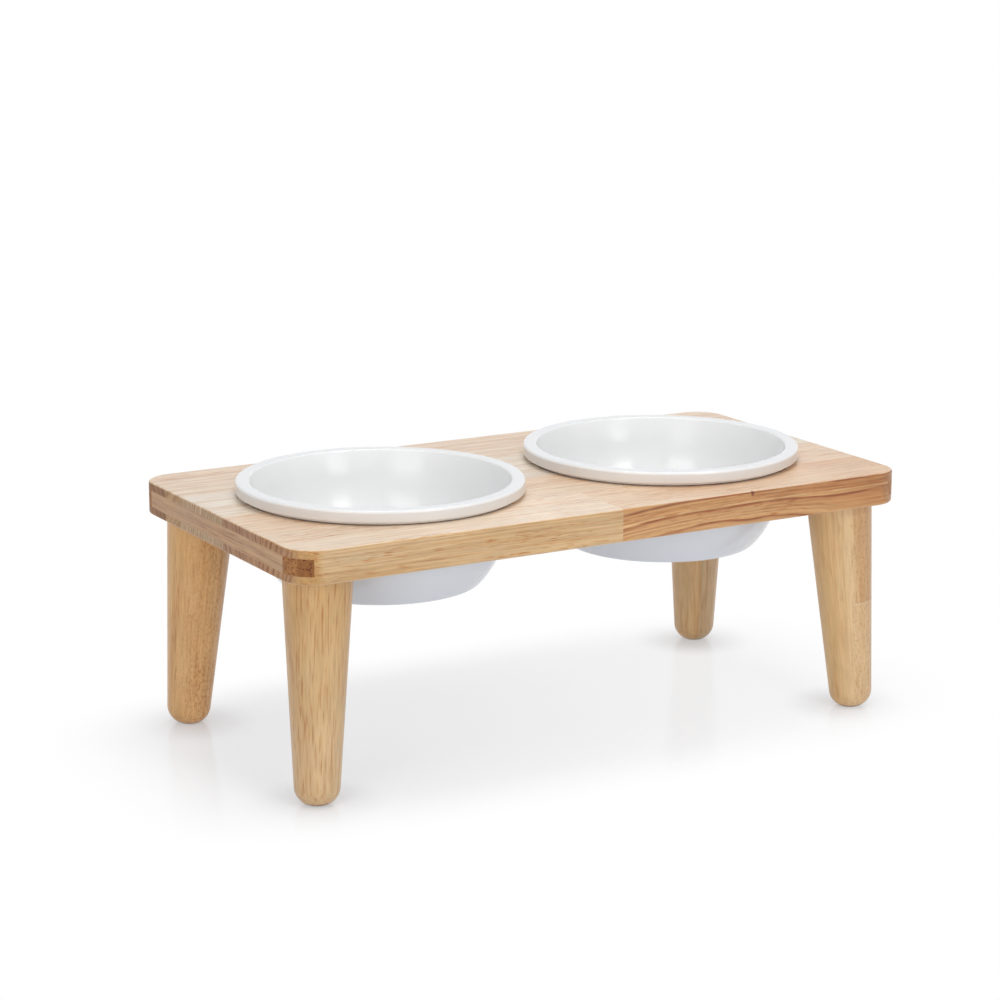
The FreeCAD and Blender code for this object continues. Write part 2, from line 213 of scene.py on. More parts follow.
stripeSpan = (-0.024, 0.010)  # heights that a stripe can lie at, in metres from the local middle
lineFade = 0.004
bandEdge = 0.0015
bandFade = 0.012
raggedReach = 0.006


def stripeStops(stripes):
    # a grey ramp with a soft peak for each stripe: height and half width in millimetres, and strength
    low, high = stripeSpan
    peaks = []
    for height, half, strength in sorted(stripes):
        for shift, value in ((-half, 0.0), (0.0, strength), (half, 0.0)):
            peaks.append(((height + shift) * mm, value))
    return [((height - low) / (high - low), (value, value, value, 1.0)) for height, value in sorted(peaks)]


def lineMask(along, height, line):
    # a growth line along a path of (along, height) points in millimetres: crisp above, fading out below
    low, high = stripeSpan
    first, last = line["path"][0][0] * mm, line["path"][-1][0] * mm
    stops = []
    for x, z in line["path"]:
        level = (z * mm - low) / (high - low)
        stops.append(((x * mm - first) / (last - first), (level, level, level, 1.0)))
    ramp = along.node("ShaderNodeValToRGB", {"stops": stops}, {0: (along - first) / (last - first)})
    ramp.socket.node.color_ramp.interpolation = "CARDINAL"
    offset = height - (ramp * (high - low) + low)
    above, below = line["above"] * mm, line["below"] * mm
    begun = along.step(first - lineFade, first + lineFade)
    ends = begun * along.step(last - lineFade, last + lineFade, 1.0, 0.0)
    return offset.step(0.0, above, 1.0, 0.0) * offset.step(-below, 0.0) * ends


def bandMask(across, along, band):
    left, right = band["across"]
    low, high = band["along"]
    edge, fade = band.get("edge", bandEdge), band.get("fade", bandFade)
    inside = across.step(left - edge, left + edge) * across.step(right - edge, right + edge, 1.0, 0.0)
    return inside * along.step(low - fade, low + fade) * along.step(high - fade, high + fade, 1.0, 0.0)


def woodPattern(wire, name, look):
    stretch, detail, shift, rough = woodPatterns[name]
    return wire.noise(stretch, detail, look["seed"] + shift, rough)


def stain(colour, mask, shade, how="MULTIPLY"):
    return mask.mix(colour, tint(*shade), how)


def facing(pen, look, way):
    # how squarely a face looks along a local axis, either way
    normal = pen.node("ShaderNodeTexCoord", None, None, "Normal")
    axis = tuple(Euler(look["turn"]).to_matrix() @ Vector(way))
    return abs(pen.node("ShaderNodeVectorMath", {"operation": "DOT_PRODUCT"}, {0: normal, 1: axis}, "Value"))


def archRise(along, height, look):
    # the grain arches along the piece, and right of the arch it rises more the lower it lies
    lean = along - look["bowAt"]
    lean = lean.maths("MINIMUM", lean, look["bowReach"])
    atLeft = lean.maths("LESS_THAN", lean, 0.0)
    growth = (look["bowLevel"] - height) * look["bowRight"]
    rightBow = growth.maths("MAXIMUM", growth, 0.0)
    return lean * lean * (atLeft * look["bow"] + (1 - atLeft) * rightBow)


def readGrain(pen, look):
    # where a point lies in the piece, how its face is cut, and how the grain wanders there
    place = pen.node("ShaderNodeTexCoord", None, None, "Object")
    local = pen.node("ShaderNodeMapping", {"vector_type": "TEXTURE"}, {
        "Vector": place, "Location": look["middle"], "Rotation": look["turn"]})
    along, across, height = local.split()
    endFacing = facing(pen, look, (1, 0, 0))
    endOn = endFacing.step(*look["endFrom"])
    flatOn = facing(pen, look, (0, 0, 1)).step(0.60, 0.90)
    bend = (woodPattern(local, "bend", look) - 0.5) * look["drift"]
    flow = height + bend
    if look["bow"] or look["bowRight"]:
        flow = flow + archRise(along, height, look)
    return SimpleNamespace(
        local=local, along=along, across=across, height=height, bend=bend, flow=flow,
        run=pen.join(along, across + bend, flow), endFacing=endFacing, endOn=endOn, flatOn=flatOn,
        sideOn=(1 - endOn) * (1 - flatOn))


def lateWood(pen, look, grain):
    # growth rings, uneven in spacing and strength
    offAcross = grain.across + grain.bend - look["pith"][0]
    offHeight = grain.flow - look["pith"][1]
    count = (offAcross * offAcross + offHeight * offHeight) ** 0.5 / look["ringGap"]
    uneven = pen.node("ShaderNodeTexNoise", {"noise_dimensions": "1D"}, {
        "W": count * 0.31 + look["seed"], "Scale": 1.0, "Detail": 1.0})
    count = count + uneven * 2.0
    ringEdge, ring = count.maths("FRACT", count), count.maths("FLOOR", count)
    ringMark = pen.node("ShaderNodeTexWhiteNoise", {"noise_dimensions": "1D"}, {"W": ring})
    return ringEdge.step(0.20, 0.74) * ringEdge.step(0.74, 0.98, 1.0, 0.0) * (ringMark * 0.6 + 0.4)


def cutTones(look, grain):
    # the plain colours of the side, flat, oblique and end faces
    clouds = woodPattern(grain.local, "clouds", look).step(0.30, 0.70)

    def tone(name):
        pale, warm = look[name]
        return clouds.mix(tint(*pale), tint(*warm))

    colour = tone("side")
    if look["flat"]:
        # the flat tone carries a painted sheen: the top is paler than the sides partly because of how the
        # overhead light falls on it
        colour = grain.flatOn.mix(colour, tone("flat"))
    if look["corner"]:
        oblique = grain.endFacing.step(0.04, 0.40) * (1 - grain.flatOn)
        colour = oblique.mix(colour, tone("corner"))
    colour = grain.endOn.mix(colour, tone("end"))
    if look["core"]:
        inside, edge, coreTone = look["core"]
        core = abs(grain.across).step(inside - edge, inside + edge, 1.0, 0.0)
        colour = stain(colour, grain.endOn * core, coreTone, "MIX")
    return colour


def drawLines(colour, pen, look, grain):
    # stripes that follow the grain, and growth lines along given paths
    low, high = stripeSpan
    if look["stripes"]:
        level = (grain.flow - low) / (high - low)
        ramp = pen.node("ShaderNodeValToRGB", {"stops": stripeStops(look["stripes"])}, {0: level})
        broken = woodPattern(grain.run, "breaks", look).step(0.30, 0.58, look["breaks"], 1.0)
        colour = stain(colour, ramp * broken * grain.sideOn, look["stripeTint"])
    for line in look["lines"]:
        wear = grain.run.noise((40.0, 500.0, 500.0), 2.0, look["seed"] + line["path"][0][1])
        mask = lineMask(grain.along, grain.height + grain.bend, line) * grain.sideOn
        mask = mask * wear.step(0.30, 0.60, 0.45, 1.0) * line["strength"]
        colour = stain(colour, mask, line["tint"], line.get("how", "MULTIPLY"))
    return colour


def drawBands(colour, look, grain):
    # bands of tone along and across a piece: most are the wood's own, but those at the upper end of the left
    # legs are painted shade below the top
    ragged = grain.across + (woodPattern(grain.local, "ragged", look) - 0.5) * raggedReach
    for band in look["bands"]:
        mask = bandMask(ragged, grain.along, band) * band.get("strength", 1.0)
        if band.get("flatOnly"):
            mask = mask * grain.flatOn
        colour = stain(colour, mask, band["tint"], band.get("how", "MULTIPLY"))
    return colour


def drawMarks(colour, pen, look, grain):
    # specks, and a knot
    if look["specks"]:
        dots = grain.local.noise(look["speckScale"], 1.0, look["seed"] + 5.9).step(*look["speckFrom"])
        spread = woodPattern(grain.local, "spread", look).step(0.30, 0.55, 0.6, 1.0)
        if look["speckSide"]:
            spread = spread * grain.across.step(*look["speckSide"])
        if look["speckEnds"]:
            spread = grain.endOn
        colour = stain(colour, dots * spread * look["specks"], look["markTint"])
    if look["knot"]:
        centre, reach = look["knot"]
        offset = pen.node("ShaderNodeVectorMath", {"operation": "SUBTRACT"}, {0: grain.local, 1: centre})
        scaled = pen.node("ShaderNodeVectorMath", {"operation": "DIVIDE"}, {0: offset, 1: reach})
        far = pen.node("ShaderNodeVectorMath", {"operation": "LENGTH"}, {0: scaled}, "Value")
        colour = stain(colour, far.step(0.55, 1.25, 0.85, 0.0), look["markTint"])
    return colour


def makeWood(label, **changes):
    look = {**woodDefaults, **changes}
    material, pen = startMaterial(label)
    grain = readGrain(pen, look)
    run, endOn, seed = grain.run, grain.endOn, look["seed"]
    late = lateWood(pen, look, grain)
    fibres = woodPattern(run, "fibres", look)
    patches = woodPattern(grain.local, "patches", look)
    width, fine = look["streakWidth"], look["poreWidth"]
    streaks = run.noise((look["streakLength"], width, width), 2.0, seed + 6.1, 0.55).step(0.48, 0.72)
    dashes = run.noise((look["poreLength"], fine, fine), 2.0, seed + 5.5).step(0.54, 0.66)
    density = woodPattern(run, "density", look).step(0.38, 0.62, 0.2, 1.0)
    pores = dashes * density * (1 - endOn * 0.5) * look["pores"]

    colour = cutTones(look, grain)
    longOn = (1 - endOn) * (1 - grain.flatOn * 0.5)
    colour = stain(colour, late * longOn * look["ringDepth"], look["ringTint"])
    colour = stain(colour, late * endOn * look["endRingDepth"], look["endRingTint"])
    colour = stain(colour, streaks * (1 - endOn * 0.6) * look["streaks"], look["streakTint"])
    colour = drawLines(colour, pen, look, grain)
    colour = drawBands(colour, look, grain)
    colour = drawMarks(colour, pen, look, grain)
    colour = stain(colour, pores, look["poreTint"])
    dark, pale = 1.0 - look["fibre"] * 0.24, 1.0 + look["fibre"] * 0.18
    light = fibres.step(0.25, 0.75, dark, pale) * patches.step(0.2, 0.8, 0.97, 1.03)
    colour = pen.node("ShaderNodeVectorMath", {"operation": "SCALE"}, {"Vector": colour, "Scale": light})

    roughness = fibres * 0.12 + pores * 0.10 + endOn * 0.20 + (look["rough"] - 0.06)
    relief = fibres * 0.35 - pores - late * 0.25 - streaks * 0.2
    bump = pen.node("ShaderNodeBump", None, {"Strength": 0.30, "Distance": 0.0002, "Height": relief})
    shader = pen.node("ShaderNodeBsdfPrincipled", None, {
        "Base Color": colour, "Roughness": roughness, "Normal": bump, "Specular IOR Level": 0.45,
        "Coat Weight": (1 - endOn) * look["coat"], "Coat Roughness": 0.30})
    endMaterial(pen, shader)
    return material


def dress(node, material):
    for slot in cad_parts[node].material_slots:
        slot.material = material


def without(look, left):
    return {name: value for name, value in look.items() if name != left}


# Camera, at the photograph's place.
cameraSet = {
    "place": (-0.8385, -1.3995, 0.5191),
    "yaw": 30.427,
    "pitch": 13.388,
    "roll": 0.213,
    "lens": 102.586,
    "sensor": 36.0,
    "clipStart": 0.05,
}


def addCamera(look):
    yaw, pitch, roll = (math.radians(look[name]) for name in ("yaw", "pitch", "roll"))
    ahead = Vector((math.sin(yaw) * math.cos(pitch), math.cos(yaw) * math.cos(pitch), -math.sin(pitch)))
    level = Vector((math.cos(yaw), -math.sin(yaw), 0))
    rise = level.cross(ahead)
    right = math.cos(roll) * level + math.sin(roll) * rise
    up = math.cos(roll) * rise - math.sin(roll) * level
    data = bpy.data.cameras.new("camera")
    data.lens = look["lens"]
    data.sensor_width = look["sensor"]
    data.clip_start = look["clipStart"]
    camera = bpy.data.objects.new("camera", data)
    camera.matrix_world = Matrix((right, up, -ahead)).transposed().to_4x4()
    camera.location = look["place"]
    scene.collection.objects.link(camera)
    scene.camera = camera


addCamera(cameraSet)
print("camera set")

# Light: a wide soft lamp overhead, soft panels on both sides of the camera, and an even pale surround.
# A panel reaches from one height to another, measured up the lamp from its place.
lightSet = {
    "overhead": {
        "place": (0.10, -0.05, 1.55), "aim": (0.0, 0.0, 0.1), "width": 1.5, "power": 11.0,
        "panels": [(-0.55, 0.55)]},
    "frontLeft": {
        "place": (-1.45, -1.02, 0.78), "aim": (0.0, 0.0, 0.30), "width": 0.9, "power": 8.3,
        "panels": [(-0.62, -0.38), (-0.13, 0.07), (0.35, 0.70)]},
    "frontRight": {
        "place": (0.32, -1.85, 0.80), "aim": (0.0, 0.0, 0.30), "width": 0.65, "power": 9.7,
        "panels": [(-0.65, -0.43), (-0.13, 0.07), (0.35, 0.70)]},
}
surroundStrength = 0.29


def seenDirectly(pen):
    path = pen.node("ShaderNodeLightPath", None, None, "Is Camera Ray")
    gloss = path.maths("MAXIMUM", path, path.other("Is Glossy Ray"))
    return path.maths("MAXIMUM", gloss, path.other("Is Transmission Ray"))


def addLights():
    for label, look in lightSet.items():
        place = Vector(look["place"])
        turn = (Vector(look["aim"]) - place).to_track_quat("-Z", "Y")
        total = sum(high - low for low, high in look["panels"])
        for low, high in look["panels"]:
            data = bpy.data.lights.new(label, "AREA")
            data.shape = "RECTANGLE"
            data.size, data.size_y = look["width"], high - low
            data.energy = look["power"] * (high - low) / total
            lamp = bpy.data.objects.new(label, data)
            lamp.location = place + turn @ Vector((0, (low + high) / 2, 0))
            lamp.rotation_euler = turn.to_euler()
            scene.collection.objects.link(lamp)
    world = bpy.data.worlds.new("surround")
    world.use_nodes = True
    world.node_tree.nodes.clear()
    pen = Wire(world.node_tree)
    seen = seenDirectly(pen)
    strength = seen * (1.0 - surroundStrength) + surroundStrength
    back = pen.node("ShaderNodeBackground", None, {"Color": (1, 1, 1, 1), "Strength": strength})
    pen.node("ShaderNodeOutputWorld", None, {"Surface": back})
    scene.world = world


addLights()
scene.view_settings.view_transform = "Standard"
print("lights set")

# Floor: white paper that keeps a soft shade below the top and a darker one round the feet.
floorSet = {
    "half": 4.0,
    "drop": 0.0001,
    "shade": (0.235, 0.125),  # half sizes of the patch of floor that keeps its shade
    "squareness": 4.0,
    "fade": (0.72, 1.25),
    "lift": (0.54, 0.78),  # how much of the shade is lifted to white, from the left to the right
    "liftReach": 0.8,
    "feet": (0.1798, 0.0835),
    "footReach": (0.008, 0.045),
    "footLift": 0.45,
    "white": (245, 248, 255),
    "rough": (0.12, 0.04),  # least roughness, and how much more there can be
}


def addFloor(look):
    half = look["half"]
    corners = [(-half, -half), (half, -half), (half, half), (-half, half)]
    mesh = bpy.data.meshes.new("floor")
    mesh.from_pydata([(x, y, -look["drop"]) for x, y in corners], [], [(0, 1, 2, 3)])
    floor = bpy.data.objects.new("floor", mesh)
    scene.collection.objects.link(floor)
    material, pen = startMaterial("floorPaper")
    place = pen.node("ShaderNodeTexCoord", None, None, "Object")
    x, y = place.split()[:2]
    halfX, halfY = look["shade"]
    power = look["squareness"]
    away = ((x / halfX) ** power + (y / halfY) ** power) ** (1 / power)
    lift = x.step(-halfX, halfX * look["liftReach"], *look["lift"])
    offX, offY = abs(x) - look["feet"][0], abs(y) - look["feet"][1]
    nearFoot = ((offX * offX + offY * offY) ** 0.5).step(*look["footReach"], 1.0, 0.0)
    lift = lift * (1 - nearFoot * (1 - look["footLift"]))
    fade = lift + away.step(*look["fade"]) * (1 - lift)
    least, more = look["rough"]
    sheen = place.noise((3.0, 3.0, 3.0), 2.0) * more + least
    paper = pen.node("ShaderNodeBsdfPrincipled", None, {
        "Base Color": tint(*look["white"]), "Roughness": sheen, "Specular IOR Level": 0.5})
    glow = pen.node("ShaderNodeEmission", None, {"Color": (1, 1, 1, 1), "Strength": 1.0})
    shader = pen.node("ShaderNodeMixShader", None, {0: seenDirectly(pen) * fade, 1: paper, 2: glow})
    endMaterial(pen, shader)
    mesh.materials.append(material)


addFloor(floorSet)
print("floor laid")

# The staves of the top, row by row from the front. The lengths of one row come from one stave.
boardTop = 0.1468
# The flat tones here are paler than the side tones: the wood's own tone, with a painted sheen of the lit top.
staveSet = {
    "goldenStave": {
        "nodes": ["front_stave_left"], "middle": (0.0, 0.0, boardTop),
        "side": ((230, 202, 159), (218, 181, 131)), "flat": ((250, 232, 210), (244, 220, 194)),
        "end": ((201, 157, 118), (187, 143, 106)), "pith": (0.28, 0.10), "ringGap": 0.0048, "ringDepth": 0.10,
        "corner": ((214, 172, 112), (205, 160, 98)),
        "stripes": [(-1.2, 0.8, 0.5), (-2.5, 0.9, 0.4), (-5.0, 0.9, 0.45), (-8.9, 1.0, 0.4),
                    (-13.4, 0.9, 0.6)],
        "stripeTint": (222, 174, 116), "drift": 0.0015, "pores": 1.0, "poreLength": 95.0, "poreWidth": 1500.0,
        "poreTint": (228, 184, 134), "streaks": 0.45, "fibre": 0.6, "seed": 11.0,
        "bands": [{"across": (-1.0, 1.0), "along": (-0.25, -0.125), "tint": (248, 246, 243), "fade": 0.03}],
    },
    "stripedStave": {
        "nodes": ["front_stave_right"], "middle": (0.0, 0.0, boardTop),
        "side": ((223, 176, 120), (211, 157, 102)), "flat": ((243, 216, 186), (238, 205, 173)),
        "end": ((197, 152, 114), (183, 138, 103)), "pith": (0.28, 0.10), "ringGap": 0.0050,
        "ringDepth": 0.08, "endRingDepth": 0.4,
        "corner": ((212, 166, 112), (202, 152, 98)),
        "stripes": [(-2.3, 0.8, 0.5), (-4.0, 0.7, 0.5), (-5.3, 0.6, 0.45), (-9.6, 0.9, 0.4),
                    (-11.2, 0.9, 0.65), (-12.9, 0.8, 0.5), (-17.4, 0.9, 0.3)],
        "stripeTint": (206, 160, 116), "breaks": 0.4, "drift": 0.0016,
        "bow": 0.6, "bowAt": 0.085, "bowRight": 100.0, "bowLevel": -0.006,
        "lines": [
            {"path": [(0, -4.6), (17, -2.8), (33, -1.5), (50, -0.6), (110, -0.4), (200, -0.4)],
             "above": 1.2, "below": 1.6, "tint": (172, 118, 80), "strength": 1.0},
            {"path": [(0, -12.2), (18, -9.9), (42, -8.0), (67, -7.4), (93, -6.9), (117, -7.1), (137, -8.3),
                      (150, -8.9), (167, -8.6), (182, -7.6), (200, -7.4)],
             "above": 0.5, "below": 2.4, "tint": (180, 122, 76), "strength": 1.0},
            {"path": [(0, -10.8), (18, -8.7), (42, -6.9), (67, -6.2), (93, -5.8), (130, -6.0), (160, -6.4),
                      (200, -5.9)],
             "above": 0.7, "below": 0.7, "tint": (240, 206, 158), "strength": 0.45, "how": "MIX"},
            {"path": [(16, -19.4), (30, -17.8), (42, -16.6), (56, -15.1), (66, -14.8), (76, -15.2),
                      (87, -16.0), (99, -15.8), (108, -16.3), (125, -17.7), (142, -19.6)],
             "above": 0.5, "below": 2.2, "tint": (184, 126, 78), "strength": 1.0},
            {"path": [(90, -2.6), (130, -2.8), (160, -3.2), (200, -3.0)],
             "above": 0.5, "below": 1.4, "tint": (188, 136, 96), "strength": 0.65},
            {"path": [(100, -4.4), (140, -4.9), (200, -4.6)],
             "above": 0.4, "below": 1.0, "tint": (196, 144, 104), "strength": 0.6},
            {"path": [(100, -9.0), (150, -10.6), (200, -9.4)],
             "above": 2.0, "below": 4.6, "tint": (234, 220, 202), "strength": 1.0},
            {"path": [(-5, -1.0), (200, -1.0)],
             "above": 2.0, "below": 12.0, "tint": (242, 234, 222), "strength": 1.0},
        ],
        "knot": ((0.0905, -0.1035, -0.0008), (0.0013, 0.0016, 0.0022)),
        "streaks": 0.5, "pores": 0.8, "poreLength": 95.0, "poreWidth": 1300.0, "fibre": 0.5, "seed": 23.0,
        "bands": [
            {"across": (-1.0, 1.0), "along": (0.15, 0.25), "tint": (246, 240, 230), "fade": 0.03},
            {"across": (-1.0, 1.0), "along": (0.05, 0.25), "tint": (248, 243, 239), "fade": 0.02,
             "flatOnly": True},
        ],
    },
    "secondStave": {
        "nodes": ["second_stave_left", "second_stave_bridge", "second_stave_right"],
        "flat": ((240, 216, 189), (234, 204, 175)), "end": ((191, 150, 114), (178, 137, 108)),
        "pith": (0.24, 0.05), "ringGap": 0.0050, "seed": 31.0,
    },
    "thirdStave": {
        "nodes": ["third_stave_left", "third_stave_bridge", "third_stave_right"],
        "flat": ((241, 232, 216), (236, 221, 204)), "end": ((208, 181, 147), (198, 170, 136)),
        "pith": (-0.20, 0.08), "ringGap": 0.0024, "ringDepth": 0.5, "seed": 43.0,
    },
    "fourthStave": {
        "nodes": ["fourth_stave_left", "fourth_stave_bridge", "fourth_stave_right"],
        "flat": ((239, 229, 213), (235, 219, 202)), "end": ((214, 186, 151), (203, 173, 139)),
        "pith": (-0.20, 0.10), "ringGap": 0.0030, "seed": 59.0,
    },
    "fifthStave": {
        "nodes": ["fifth_stave_left", "fifth_stave_bridge", "fifth_stave_right"],
        "flat": ((238, 220, 197), (233, 210, 186)), "end": ((203, 170, 129), (193, 157, 118)),
        "pith": (-0.18, -0.10), "ringGap": 0.0060, "ringDepth": 0.6, "endRingDepth": 0.6, "seed": 67.0,
    },
    "backStave": {
        "nodes": ["back_stave"],
        "flat": ((239, 217, 194), (232, 205, 180)), "end": ((173, 133, 99), (158, 118, 88)),
        "pith": (0.10, 0.12), "ringGap": 0.0052, "ringDepth": 0.65, "endRingDepth": 0.6, "seed": 73.0,
    },
    "leftSpline": {
        "nodes": ["left_end_spline"], "turn": (0.0, 0.0, math.pi / 2), "endFrom": (0.02, 0.08),
        "side": ((200, 155, 104), (189, 144, 96)), "end": ((179, 124, 72), (161, 108, 59)),
        "core": (0.1965, 0.0002, (154, 99, 47)), "pith": (0.02, 0.05), "ringGap": 0.0030, "ringDepth": 0.35,
        "endRingDepth": 0.35, "streaks": 0.8, "streakLength": 14.0, "streakWidth": 900.0,
        "streakTint": (218, 190, 160), "pores": 0.9, "poreLength": 50.0, "poreWidth": 1000.0,
        "poreTint": (210, 176, 142), "fibre": 0.6, "specks": 0.9, "speckScale": (700.0, 620.0, 620.0),
        "speckFrom": (0.56, 0.66), "speckEnds": True, "markTint": (172, 120, 84), "seed": 83.0,
    },
    "rightSpline": {
        "nodes": ["right_end_spline"], "turn": (0.0, 0.0, math.pi / 2), "endFrom": (0.02, 0.08),
        "side": ((195, 150, 103), (184, 140, 95)), "end": ((200, 152, 108), (192, 142, 98)),
        "pith": (0.02, 0.05), "ringGap": 0.0030, "ringDepth": 0.2, "pores": 0.4, "seed": 89.0,
    },
}


for label, look in staveSet.items():
    material = makeWood(label, **without(look, "nodes"))
    for node in look["nodes"]:
        dress(node, material)
print("staves dressed")


def spinTree():
    # Turns a profile, a line of vertices in the XZ plane, round the Z axis.
    tree = bpy.data.node_groups.new("spinProfile", "GeometryNodeTree")
    face = tree.interface
    face.new_socket(name="Profile", in_out="INPUT", socket_type="NodeSocketGeometry")
    names = {"Profile points": "Int", "Steps round": "Int", "Weld": "Float", "Finish": "Material"}
    for name, kind in names.items():
        face.new_socket(name=name, in_out="INPUT", socket_type="NodeSocket" + kind)
    face.new_socket(name="Mesh", in_out="OUTPUT", socket_type="NodeSocketGeometry")
    pen = Wire(tree)
    given = pen.node("NodeGroupInput")
    points, steps = given.other("Profile points"), given.other("Steps round")
    grid = pen.node("GeometryNodeMeshGrid", None, {
        "Size X": 1.0, "Size Y": 1.0, "Vertices X": steps + 1, "Vertices Y": points})
    place = pen.node("GeometryNodeInputPosition")
    x, y = place.split()[:2]
    index = (y + 0.5) * (points - 1.0)
    taken = pen.node("GeometryNodeSampleIndex", {"data_type": "FLOAT_VECTOR", "domain": "POINT"}, {
        "Geometry": given, "Value": place, "Index": index.maths("ROUND", index)})
    radius, rise = taken.split()[::2]
    angle = (x + 0.5) * (2 * math.pi)
    turned = pen.join(radius * angle.maths("COSINE", angle), radius * angle.maths("SINE", angle), rise)
    shaped = pen.node("GeometryNodeSetPosition", None, {"Geometry": grid, "Position": turned})
    welded = pen.node("GeometryNodeMergeByDistance", None, {
        "Geometry": shaped, "Distance": given.other("Weld")})
    smooth = pen.node("GeometryNodeSetShadeSmooth", None, {"Geometry": welded})
    real = pen.node("GeometryNodeRealizeInstances", None, {"Geometry": smooth})
    done = pen.node("GeometryNodeSetMaterial", None, {"Geometry": real, "Material": given.other("Finish")})
    pen.node("NodeGroupOutput", None, {"Mesh": done})
    return tree


def growMesh(label, vertices, edges, tree, inputs):
    # Runs a tree on a line of vertices and returns the plain mesh.
    seedMesh = bpy.data.meshes.new(label + "Seed")
    seedMesh.from_pydata(vertices, edges, [])
    holder = bpy.data.objects.new(label + "Holder", seedMesh)
    scene.collection.objects.link(holder)
    modifier = holder.modifiers.new("grow", "NODES")
    modifier.node_group = tree
    for item in tree.interface.items_tree:
        if item.item_type == "SOCKET" and item.in_out == "INPUT" and item.name in inputs:
            modifier[item.identifier] = inputs[item.name]
    graph = bpy.context.evaluated_depsgraph_get()
    mesh = bpy.data.meshes.new_from_object(holder.evaluated_get(graph))
    bpy.data.objects.remove(holder)
    mesh.name = label
    return mesh


def straightenFaces(mesh, place, cuts):
    # Puts a closed mesh in place, trims it at level planes and turns its faces outwards.
    shape = bmesh.new()
    shape.from_mesh(mesh)
    bmesh.ops.transform(shape, matrix=place, verts=shape.verts)
    for height, way in cuts:
        everything = shape.verts[:] + shape.edges[:] + shape.faces[:]
        cut = bmesh.ops.bisect_plane(
            shape, geom=everything, plane_co=(0, 0, height), plane_no=(0, 0, way), clear_outer=True)
        rim = [item for item in cut["geom_cut"] if isinstance(item, bmesh.types.BMEdge)]
        bmesh.ops.contextual_create(shape, geom=rim)
    bmesh.ops.remove_doubles(shape, verts=shape.verts, dist=weld)
    bmesh.ops.recalc_face_normals(shape, faces=shape.faces)
    shape.to_mesh(mesh)
    shape.free()


def addPiece(label, mesh, body, slot, *nodes):
    piece = bpy.data.objects.new(label, mesh)
    scene.collection.objects.link(piece)
    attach(piece, body)
    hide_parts(*nodes)


def arcRun(centre, radius, start, end, steps):
    angles = [math.radians(start + (end - start) * n / steps) for n in range(steps + 1)]
    return [(centre[0] + radius * math.cos(a), centre[1] + radius * math.sin(a)) for a in angles]


spinProfile = spinTree()


def spinPiece(label, points, look, finish, place, cuts=()):
    vertices = [(radius * mm, 0.0, height * mm) for radius, height in points]
    edges = [(n, n + 1) for n in range(len(vertices) - 1)]
    mesh = growMesh(label, vertices, edges, spinProfile, {
        "Profile points": len(points), "Steps round": look["stepsRound"], "Weld": weld, "Finish": finish})
    straightenFaces(mesh, place, cuts)
    mesh.set_sharp_from_angle(angle=sharpAngle)
    return mesh


# The bowls, in millimetres from the middle of the base. The inner wall leans more than the outer one.
bowlSet = {
    "seat": 95.1,
    "places": {"left_bowl": -95.5039, "right_bowl": 95.5039},
    "height": 60.4,
    "rim": 82.7,
    "rimFlat": 5.1,
    "rimRound": 1.5,
    "rimDepth": 8.4,
    "skirtGap": 1.85,
    "skirtRound": 0.3,
    "bead": 0.9,
    "beadInset": 2.65,
    "lip": 1.4,
    "lean": 8.0,
    "corner": 51.9,
    "cornerInset": 34.65,
    "innerLean": 9.2,
    "innerTurn": 46.0,
    "foot": 4.5,
    "sheet": 1.0,
    "stepsRound": 192,
    "white": (249, 249, 249),
    "shade": (247, 247, 247),
    # painted shade: faces that look up are toned darker and bluer than the walls, as shade and a cool painted
    # reflection
    "level": (242, 244, 247),
    # painted light: the rim's hanging edge is toned warm as a bounce from the wood, and the outer faces below
    # the board a cool grey shade
    "skirtBounce": (235, 233, 231),
    "under": (229, 233, 238),
    "rough": 0.15,
}


def innerRun(look, head, footMiddle):
    # the inside below the lip: a leaning wall, then one wide sweep that meets the round at the floor
    lean, small = math.radians(look["innerLean"]), look["foot"] - look["sheet"]
    out, rise = math.cos(lean), math.sin(lean)
    bend = (head[0] - (head[1] - look["innerTurn"]) * rise / out, look["innerTurn"])
    gapX, gapZ = bend[0] - footMiddle[0], bend[1] - footMiddle[1]
    sweep = (gapX ** 2 + gapZ ** 2 - small ** 2) / (2 * (gapX * out - gapZ * rise - small))
    middle = (bend[0] - sweep * out, bend[1] + sweep * rise)
    end = math.degrees(math.atan2(footMiddle[1] - middle[1], footMiddle[0] - middle[0]))
    points = arcRun(middle, sweep, -look["innerLean"], end, steps=30)
    return points + arcRun(footMiddle, small, end, -90, steps=8)[1:]


